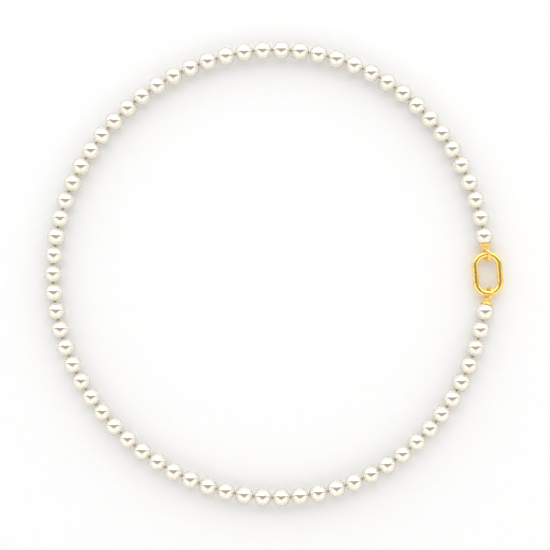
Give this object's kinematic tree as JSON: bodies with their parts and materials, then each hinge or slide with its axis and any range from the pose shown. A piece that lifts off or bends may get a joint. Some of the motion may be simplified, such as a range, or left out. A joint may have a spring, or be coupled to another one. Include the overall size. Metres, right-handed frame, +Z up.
{
  "type": "pearl necklace",
  "caption": "Closed strand of round drilled pearls knotted on a thread, with end caps and rings joined by an oblong gold link that opens by a sprung gate.",
  "frame": {"origin": "centre of the closed necklace's bounding box in plan, on the surface it lies on", "axes": "+Z up from the surface, +X towards the link, +Y along the link towards its upper ring, with the centre pearl at -X"},
  "size_m": [0.1534, 0.1552, 0.006],
  "materials": {
    "nacre": "lustrous ivory nacre, polished",
    "gold": "mirror-polished yellow gold",
    "silk": "twisted silk thread",
    "spring_steel": "spring strip"
  },
  "bodies": {
    "strand_centre": {"pearls_centre": "nacre", "thread": "silk"},
    "strand_upper_01": {"pearls_upper_01": "nacre"},
    "strand_upper_02": {"pearls_upper_02": "nacre"},
    "strand_upper_03": {"pearls_upper_03": "nacre"},
    "strand_upper_04": {"pearls_upper_04": "nacre"},
    "strand_upper_05": {"pearls_upper_05": "nacre"},
    "strand_upper_06": {"pearls_upper_06": "nacre"},
    "strand_upper_07": {"pearls_upper_07": "nacre"},
    "strand_upper_08": {"pearls_upper_08": "nacre"},
    "strand_upper_09": {"pearls_upper_09": "nacre"},
    "strand_upper_10": {"pearls_upper_10": "nacre"},
    "strand_upper_11": {"pearls_upper_11": "nacre"},
    "strand_upper_12": {"pearls_upper_12": "nacre"},
    "strand_upper_13": {"pearls_upper_13": "nacre"},
    "strand_upper_14": {"pearls_upper_14": "nacre"},
    "strand_upper_15": {"pearls_upper_15": "nacre"},
    "strand_upper_16": {"pearls_upper_16": "nacre"},
    "strand_upper_17": {"pearls_upper_17": "nacre", "end_cap_upper": "gold", "end_ring_upper": "gold"},
    "strand_lower_01": {"pearls_lower_01": "nacre"},
    "strand_lower_02": {"pearls_lower_02": "nacre"},
    "strand_lower_03": {"pearls_lower_03": "nacre"},
    "strand_lower_04": {"pearls_lower_04": "nacre"},
    "strand_lower_05": {"pearls_lower_05": "nacre"},
    "strand_lower_06": {"pearls_lower_06": "nacre"},
    "strand_lower_07": {"pearls_lower_07": "nacre"},
    "strand_lower_08": {"pearls_lower_08": "nacre"},
    "strand_lower_09": {"pearls_lower_09": "nacre"},
    "strand_lower_10": {"pearls_lower_10": "nacre"},
    "strand_lower_11": {"pearls_lower_11": "nacre"},
    "strand_lower_12": {"pearls_lower_12": "nacre"},
    "strand_lower_13": {"pearls_lower_13": "nacre"},
    "strand_lower_14": {"pearls_lower_14": "nacre"},
    "strand_lower_15": {"pearls_lower_15": "nacre"},
    "strand_lower_16": {"pearls_lower_16": "nacre"},
    "strand_lower_17": {"pearls_lower_17": "nacre", "end_cap_lower": "gold", "end_ring_lower": "gold"},
    "link": {"link_frame": "gold", "gate_pin": "gold", "gate_spring": "spring_steel"},
    "gate": {"link_gate": "gold"}
  },
  "joints": [
    {"name": "strand_flex", "type": "hinge", "parent": "strand_centre", "child": "strand_upper_01", "pos_m": [-0.07315, 0.00934, 0.003], "axis": [0, 0, 1], "range_deg": [-5.5, 5.5], "deforming": ["thread"]},
    {"name": "flex_upper_02", "type": "hinge", "parent": "strand_upper_01", "child": "strand_upper_02", "pos_m": [-0.07049, 0.02152, 0.003], "axis": [0, 0, 1], "range_deg": [-5.34, 5.34]},
    {"name": "flex_upper_03", "type": "hinge", "parent": "strand_upper_02", "child": "strand_upper_03", "pos_m": [-0.06581, 0.03308, 0.003], "axis": [0, 0, 1], "range_deg": [-5.02, 5.02]},
    {"name": "flex_upper_04", "type": "hinge", "parent": "strand_upper_03", "child": "strand_upper_04", "pos_m": [-0.05927, 0.0437, 0.003], "axis": [0, 0, 1], "range_deg": [-3.97, 3.97]},
    {"name": "flex_upper_05", "type": "hinge", "parent": "strand_upper_04", "child": "strand_upper_05", "pos_m": [-0.05109, 0.05311, 0.003], "axis": [0, 0, 1], "range_deg": [-2.2, 2.2]},
    {"name": "flex_upper_06", "type": "hinge", "parent": "strand_upper_05", "child": "strand_upper_06", "pos_m": [-0.0415, 0.06107, 0.003], "axis": [0, 0, 1], "range_deg": [-2.2, 2.2]},
    {"name": "flex_upper_07", "type": "hinge", "parent": "strand_upper_06", "child": "strand_upper_07", "pos_m": [-0.03074, 0.06738, 0.003], "axis": [0, 0, 1], "range_deg": [-5.2, 5.2]},
    {"name": "flex_upper_08", "type": "hinge", "parent": "strand_upper_07", "child": "strand_upper_08", "pos_m": [-0.01909, 0.07183, 0.003], "axis": [0, 0, 1], "range_deg": [-7.46, 7.46]},
    {"name": "flex_upper_09", "type": "hinge", "parent": "strand_upper_08", "child": "strand_upper_09", "pos_m": [-0.00686, 0.07425, 0.003], "axis": [0, 0, 1], "range_deg": [-8.13, 8.13]},
    {"name": "flex_upper_10", "type": "hinge", "parent": "strand_upper_09", "child": "strand_upper_10", "pos_m": [0.0056, 0.0745, 0.003], "axis": [0, 0, 1], "range_deg": [-7.57, 7.57]},
    {"name": "flex_upper_11", "type": "hinge", "parent": "strand_upper_10", "child": "strand_upper_11", "pos_m": [0.01791, 0.07253, 0.003], "axis": [0, 0, 1], "range_deg": [-6.37, 6.37]},
    {"name": "flex_upper_12", "type": "hinge", "parent": "strand_upper_11", "child": "strand_upper_12", "pos_m": [0.02966, 0.06834, 0.003], "axis": [0, 0, 1], "range_deg": [-4.87, 4.87]},
    {"name": "flex_upper_13", "type": "hinge", "parent": "strand_upper_12", "child": "strand_upper_13", "pos_m": [0.04043, 0.06208, 0.003], "axis": [0, 0, 1], "range_deg": [-2.2, 2.2]},
    {"name": "flex_upper_14", "type": "hinge", "parent": "strand_upper_13", "child": "strand_upper_14", "pos_m": [0.0499, 0.05396, 0.003], "axis": [0, 0, 1], "range_deg": [-2.2, 2.2]},
    {"name": "flex_upper_15", "type": "hinge", "parent": "strand_upper_14", "child": "strand_upper_15", "pos_m": [0.05777, 0.0443, 0.003], "axis": [0, 0, 1], "range_deg": [-2.79, 2.79]},
    {"name": "flex_upper_16", "type": "hinge", "parent": "strand_upper_15", "child": "strand_upper_16", "pos_m": [0.06388, 0.03343, 0.003], "axis": [0, 0, 1], "range_deg": [-6.78, 6.78]},
    {"name": "flex_upper_17", "type": "hinge", "parent": "strand_upper_16", "child": "strand_upper_17", "pos_m": [0.06814, 0.02171, 0.003], "axis": [0, 0, 1], "range_deg": [-10.18, 10.18]},
    {"name": "flex_lower_01", "type": "hinge", "parent": "strand_centre", "child": "strand_lower_01", "pos_m": [-0.07315, -0.00934, 0.003], "axis": [0, 0, 1], "range_deg": [-5.5, 5.5]},
    {"name": "flex_lower_02", "type": "hinge", "parent": "strand_lower_01", "child": "strand_lower_02", "pos_m": [-0.07049, -0.02152, 0.003], "axis": [0, 0, 1], "range_deg": [-5.34, 5.34]},
    {"name": "flex_lower_03", "type": "hinge", "parent": "strand_lower_02", "child": "strand_lower_03", "pos_m": [-0.06581, -0.03308, 0.003], "axis": [0, 0, 1], "range_deg": [-5.02, 5.02]},
    {"name": "flex_lower_04", "type": "hinge", "parent": "strand_lower_03", "child": "strand_lower_04", "pos_m": [-0.05927, -0.0437, 0.003], "axis": [0, 0, 1], "range_deg": [-3.97, 3.97]},
    {"name": "flex_lower_05", "type": "hinge", "parent": "strand_lower_04", "child": "strand_lower_05", "pos_m": [-0.05109, -0.05311, 0.003], "axis": [0, 0, 1], "range_deg": [-2.2, 2.2]},
    {"name": "flex_lower_06", "type": "hinge", "parent": "strand_lower_05", "child": "strand_lower_06", "pos_m": [-0.0415, -0.06107, 0.003], "axis": [0, 0, 1], "range_deg": [-2.2, 2.2]},
    {"name": "flex_lower_07", "type": "hinge", "parent": "strand_lower_06", "child": "strand_lower_07", "pos_m": [-0.03074, -0.06738, 0.003], "axis": [0, 0, 1], "range_deg": [-5.2, 5.2]},
    {"name": "flex_lower_08", "type": "hinge", "parent": "strand_lower_07", "child": "strand_lower_08", "pos_m": [-0.01909, -0.07183, 0.003], "axis": [0, 0, 1], "range_deg": [-7.46, 7.46]},
    {"name": "flex_lower_09", "type": "hinge", "parent": "strand_lower_08", "child": "strand_lower_09", "pos_m": [-0.00686, -0.07425, 0.003], "axis": [0, 0, 1], "range_deg": [-8.13, 8.13]},
    {"name": "flex_lower_10", "type": "hinge", "parent": "strand_lower_09", "child": "strand_lower_10", "pos_m": [0.0056, -0.0745, 0.003], "axis": [0, 0, 1], "range_deg": [-7.57, 7.57]},
    {"name": "flex_lower_11", "type": "hinge", "parent": "strand_lower_10", "child": "strand_lower_11", "pos_m": [0.01791, -0.07253, 0.003], "axis": [0, 0, 1], "range_deg": [-6.37, 6.37]},
    {"name": "flex_lower_12", "type": "hinge", "parent": "strand_lower_11", "child": "strand_lower_12", "pos_m": [0.02966, -0.06834, 0.003], "axis": [0, 0, 1], "range_deg": [-4.87, 4.87]},
    {"name": "flex_lower_13", "type": "hinge", "parent": "strand_lower_12", "child": "strand_lower_13", "pos_m": [0.04043, -0.06208, 0.003], "axis": [0, 0, 1], "range_deg": [-2.2, 2.2]},
    {"name": "flex_lower_14", "type": "hinge", "parent": "strand_lower_13", "child": "strand_lower_14", "pos_m": [0.0499, -0.05396, 0.003], "axis": [0, 0, 1], "range_deg": [-2.2, 2.2]},
    {"name": "flex_lower_15", "type": "hinge", "parent": "strand_lower_14", "child": "strand_lower_15", "pos_m": [0.05777, -0.0443, 0.003], "axis": [0, 0, 1], "range_deg": [-2.79, 2.79]},
    {"name": "flex_lower_16", "type": "hinge", "parent": "strand_lower_15", "child": "strand_lower_16", "pos_m": [0.06388, -0.03343, 0.003], "axis": [0, 0, 1], "range_deg": [-6.78, 6.78]},
    {"name": "flex_lower_17", "type": "hinge", "parent": "strand_lower_16", "child": "strand_lower_17", "pos_m": [0.06814, -0.02171, 0.003], "axis": [0, 0, 1], "range_deg": [-10.18, 10.18]},
    {"name": "link_roll", "type": "hinge", "parent": "strand_upper_17", "child": "link", "pos_m": [0.07136, -0.00009, 0.00234], "axis": [-0.0698, 0.9976, 0], "range_deg": [0, 48]},
    {"name": "gate_hinge", "type": "hinge", "parent": "link", "child": "gate", "pos_m": [0.06763, -0.00366, 0.00234], "axis": [0, 0, 1], "range_deg": [-35, 0], "stiffness_Nm_per_rad": 0.002, "springref_deg": 11.46, "deforming": ["gate_spring"]}
  ],
  "couplings": [
    {"joint": "flex_upper_02", "follows": "strand_flex", "ratio": 0.97133},
    {"joint": "flex_upper_03", "follows": "strand_flex", "ratio": 0.91307},
    {"joint": "flex_upper_04", "follows": "strand_flex", "ratio": 0.72162},
    {"joint": "flex_upper_05", "follows": "strand_flex", "ratio": 0.4},
    {"joint": "flex_upper_06", "follows": "strand_flex", "ratio": -0.4},
    {"joint": "flex_upper_07", "follows": "strand_flex", "ratio": -0.94492},
    {"joint": "flex_upper_08", "follows": "strand_flex", "ratio": -1.3555},
    {"joint": "flex_upper_09", "follows": "strand_flex", "ratio": -1.4771},
    {"joint": "flex_upper_10", "follows": "strand_flex", "ratio": -1.3763},
    {"joint": "flex_upper_11", "follows": "strand_flex", "ratio": -1.1575},
    {"joint": "flex_upper_12", "follows": "strand_flex", "ratio": -0.88523},
    {"joint": "flex_upper_13", "follows": "strand_flex", "ratio": -0.4},
    {"joint": "flex_upper_14", "follows": "strand_flex", "ratio": 0.4},
    {"joint": "flex_upper_15", "follows": "strand_flex", "ratio": 0.50759},
    {"joint": "flex_upper_16", "follows": "strand_flex", "ratio": 1.2318},
    {"joint": "flex_upper_17", "follows": "strand_flex", "ratio": 1.8512},
    {"joint": "flex_lower_01", "follows": "strand_flex", "ratio": -1},
    {"joint": "flex_lower_02", "follows": "strand_flex", "ratio": -0.97133},
    {"joint": "flex_lower_03", "follows": "strand_flex", "ratio": -0.91307},
    {"joint": "flex_lower_04", "follows": "strand_flex", "ratio": -0.72162},
    {"joint": "flex_lower_05", "follows": "strand_flex", "ratio": -0.4},
    {"joint": "flex_lower_06", "follows": "strand_flex", "ratio": 0.4},
    {"joint": "flex_lower_07", "follows": "strand_flex", "ratio": 0.94492},
    {"joint": "flex_lower_08", "follows": "strand_flex", "ratio": 1.3555},
    {"joint": "flex_lower_09", "follows": "strand_flex", "ratio": 1.4771},
    {"joint": "flex_lower_10", "follows": "strand_flex", "ratio": 1.3763},
    {"joint": "flex_lower_11", "follows": "strand_flex", "ratio": 1.1575},
    {"joint": "flex_lower_12", "follows": "strand_flex", "ratio": 0.88523},
    {"joint": "flex_lower_13", "follows": "strand_flex", "ratio": 0.4},
    {"joint": "flex_lower_14", "follows": "strand_flex", "ratio": -0.4},
    {"joint": "flex_lower_15", "follows": "strand_flex", "ratio": -0.50759},
    {"joint": "flex_lower_16", "follows": "strand_flex", "ratio": -1.2318},
    {"joint": "flex_lower_17", "follows": "strand_flex", "ratio": -1.8512}
  ]
}
